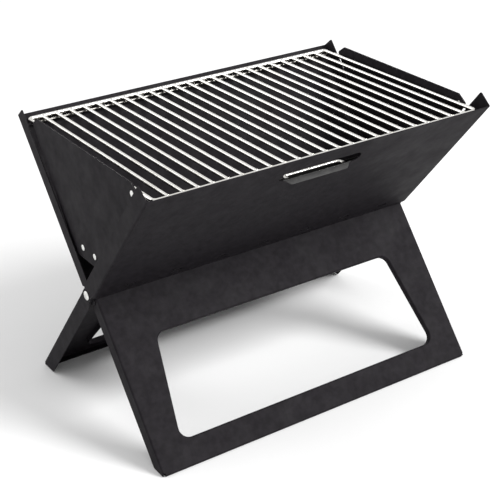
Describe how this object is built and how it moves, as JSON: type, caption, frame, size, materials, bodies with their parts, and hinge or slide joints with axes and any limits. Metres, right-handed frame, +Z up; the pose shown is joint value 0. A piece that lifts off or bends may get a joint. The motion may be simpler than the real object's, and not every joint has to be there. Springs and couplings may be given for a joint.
{
  "type": "folding camp grill",
  "caption": "Tabletop charcoal grill of two crossing sheet-steel frames on one pivot line, with window-cut legs, a wire cooking grate and lift-out end plates over a charcoal tray.",
  "frame": {"origin": "centre of the footprint, on the ground the feet stand on", "axes": "+X along the pivot line to the right, -Y towards the front wall, +Z up"},
  "size_m": [0.4542, 0.3088, 0.3492],
  "materials": {
    "black_paint": "satin black powder coat with a fine grain",
    "inner_black_paint": "satin black powder coat, slightly duller inside the firebox",
    "chrome_wire": "bright nickel-chrome plated wire",
    "bright_steel": "zinc-plated rivets and washers"
  },
  "bodies": {
    "wall_and_rear_leg": {"front_wall": "black_paint", "rear_leg_frame": "black_paint", "slot_wire_loop": "chrome_wire", "pivot_rivet_left": "bright_steel", "pivot_rivet_right": "bright_steel", "pivot_washer_left": "bright_steel", "pivot_washer_right": "bright_steel"},
    "wall_and_front_leg": {"rear_wall": "black_paint", "front_leg_frame": "black_paint"},
    "tray": {"charcoal_tray": "inner_black_paint"},
    "end_plate_left": {"end_plate_left": "black_paint", "tray_hook_left": "inner_black_paint", "hook_rivet_left_1": "bright_steel", "hook_rivet_left_2": "bright_steel", "plate_stud_left": "bright_steel"},
    "end_plate_right": {"end_plate_right": "black_paint", "tray_hook_right": "inner_black_paint", "hook_rivet_right_1": "bright_steel", "hook_rivet_right_2": "bright_steel", "plate_stud_right": "bright_steel"},
    "grate": {"grate_frame": "chrome_wire", "grate_wire_01": "chrome_wire", "grate_wire_02": "chrome_wire", "grate_wire_03": "chrome_wire", "grate_wire_04": "chrome_wire", "grate_wire_05": "chrome_wire", "grate_wire_06": "chrome_wire", "grate_wire_07": "chrome_wire", "grate_wire_08": "chrome_wire", "grate_wire_09": "chrome_wire", "grate_wire_10": "chrome_wire", "grate_wire_11": "chrome_wire", "grate_wire_12": "chrome_wire", "grate_wire_13": "chrome_wire", "grate_wire_14": "chrome_wire", "grate_wire_15": "chrome_wire", "grate_wire_16": "chrome_wire", "grate_wire_17": "chrome_wire", "grate_wire_18": "chrome_wire", "grate_wire_19": "chrome_wire", "grate_wire_20": "chrome_wire", "grate_wire_21": "chrome_wire", "grate_wire_22": "chrome_wire", "grate_wire_23": "chrome_wire", "grate_support_front": "chrome_wire", "grate_support_rear": "chrome_wire"}
  },
  "joints": [
    {"name": "fold", "type": "hinge", "parent": "wall_and_rear_leg", "child": "wall_and_front_leg", "pos_m": [0, 0, 0.165], "axis": [1, 0, 0], "range_deg": [0, 79]},
    {"name": "tray_draw_out", "type": "slide", "parent": "wall_and_rear_leg", "child": "tray", "axis": [0, -0.4226, 0.9063], "range_m": [0, 0.45]},
    {"name": "end_plate_left_lift", "type": "slide", "parent": "tray", "child": "end_plate_left", "axis": [0, 0, 1], "range_m": [0, 0.1]},
    {"name": "end_plate_right_lift", "type": "slide", "parent": "tray", "child": "end_plate_right", "axis": [0, 0, 1], "range_m": [0, 0.1]},
    {"name": "grate_lift", "type": "slide", "parent": "tray", "child": "grate", "axis": [0, 0, 1], "range_m": [0, 0.15]}
  ],
  "couplings": [
    {"joint": "tray_draw_out", "follows": "fold", "m_per_rad": 0.32}
  ]
}
